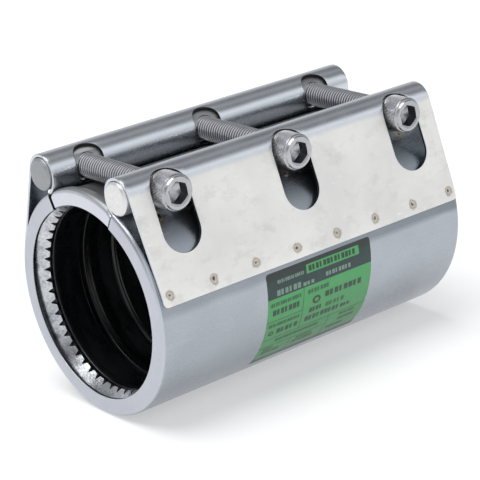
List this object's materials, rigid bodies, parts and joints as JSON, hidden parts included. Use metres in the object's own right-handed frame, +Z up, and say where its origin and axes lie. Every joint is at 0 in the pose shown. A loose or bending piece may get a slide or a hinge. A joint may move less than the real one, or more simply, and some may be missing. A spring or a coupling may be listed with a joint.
{
  "type": "pipe coupling",
  "caption": "Split tubular steel clamp that joins two pipe ends over a lipped rubber sleeve and toothed grip rings, closed by cross screws through bars in its folded lock loops.",
  "frame": {"origin": "centre of the bore, halfway along it", "axes": "+X along the bore, +Z up through the gap between the lock loops, +Y towards the nut bar, screw heads at -Y"},
  "size_m": [0.191, 0.1126, 0.1232],
  "materials": {
    "stainless": "satin stainless sheet",
    "rubber": "smooth moulded EPDM",
    "ring_steel": "hardened stainless strip",
    "bar_steel": "turned steel bar",
    "screw_steel": "satin steel screw",
    "foil": "printed plastic foil"
  },
  "bodies": {
    "bolt_side": {"casing_bolt_side": "stainless", "label": "foil", "bridge_plate": "stainless", "seal_sleeve": "rubber", "grip_ring_front": "ring_steel", "grip_ring_rear": "ring_steel"},
    "nut_side": {"casing_nut_side": "stainless"},
    "bolt_bar": {"bolt_bar": "bar_steel"},
    "nut_bar": {"nut_bar": "bar_steel"},
    "bolt_front": {"bolt_front": "screw_steel"},
    "bolt_middle": {"bolt_middle": "screw_steel"},
    "bolt_rear": {"bolt_rear": "screw_steel"}
  },
  "joints": [
    {"name": "bolt_middle_turn", "type": "hinge", "parent": "bolt_bar", "child": "bolt_middle", "pos_m": [0, -0.03, 0.0576], "axis": [0, 1, 0], "range_deg": [0, 2880]},
    {"name": "bolt_front_turn", "type": "hinge", "parent": "bolt_bar", "child": "bolt_front", "pos_m": [-0.072, -0.03, 0.0576], "axis": [0, 1, 0], "range_deg": [0, 2880]},
    {"name": "bolt_rear_turn", "type": "hinge", "parent": "bolt_bar", "child": "bolt_rear", "pos_m": [0.072, -0.03, 0.0576], "axis": [0, 1, 0], "range_deg": [0, 2880]},
    {"name": "casing_close", "type": "hinge", "parent": "bolt_side", "child": "nut_side", "pos_m": [0, 0, -0.05505], "axis": [1, 0, 0], "range_deg": [0, 7.08], "deforming": ["bridge_plate", "seal_sleeve", "grip_ring_front", "grip_ring_rear"]},
    {"name": "bolt_bar_swivel", "type": "hinge", "parent": "bolt_side", "child": "bolt_bar", "pos_m": [0, -0.03, 0.0576], "axis": [1, 0, 0], "range_deg": [0, 3.54]},
    {"name": "nut_bar_swivel", "type": "hinge", "parent": "nut_side", "child": "nut_bar", "pos_m": [0, 0.03, 0.0576], "axis": [-1, 0, 0], "range_deg": [0, 3.54]}
  ],
  "couplings": [
    {"joint": "bolt_front_turn", "follows": "bolt_middle_turn", "ratio": 1},
    {"joint": "bolt_rear_turn", "follows": "bolt_middle_turn", "ratio": 1},
    {"joint": "casing_close", "follows": "bolt_middle_turn", "ratio": 0.0024538},
    {"joint": "bolt_bar_swivel", "follows": "bolt_middle_turn", "ratio": 0.0012269},
    {"joint": "nut_bar_swivel", "follows": "bolt_middle_turn", "ratio": 0.0012269}
  ]
}
